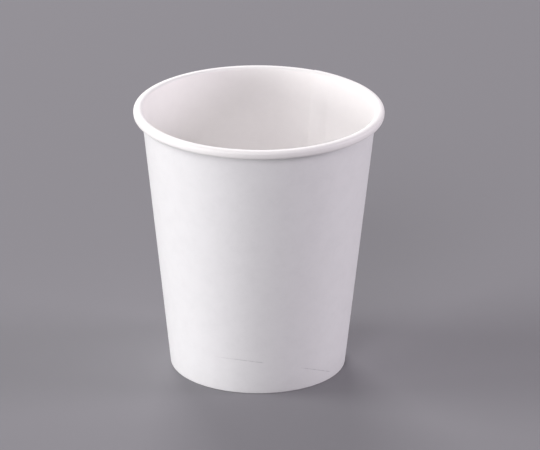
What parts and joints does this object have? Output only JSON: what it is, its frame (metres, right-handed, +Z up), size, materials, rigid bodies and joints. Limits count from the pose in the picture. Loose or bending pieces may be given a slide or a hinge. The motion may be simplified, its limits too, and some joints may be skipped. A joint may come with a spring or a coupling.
{
  "type": "paper cup",
  "caption": "Single-wall paper cup for hot drinks: tapered lapped wall, rolled rim, recessed bottom disc held in a turned-in foot.",
  "frame": {"origin": "on the surface that the cup stands on, at the centre of its footprint", "axes": "+Z up along the cup's axis, -Y towards the viewer of the picture, +X to the viewer's right"},
  "size_m": [0.073, 0.073, 0.0795],
  "materials": {
    "wall_board": "white coated board, satin",
    "floor_board": "white coated board, satin, slightly warm"
  },
  "bodies": {
    "root": {"side_wall": "wall_board", "bottom_disc": "floor_board"}
  },
  "joints": []
}
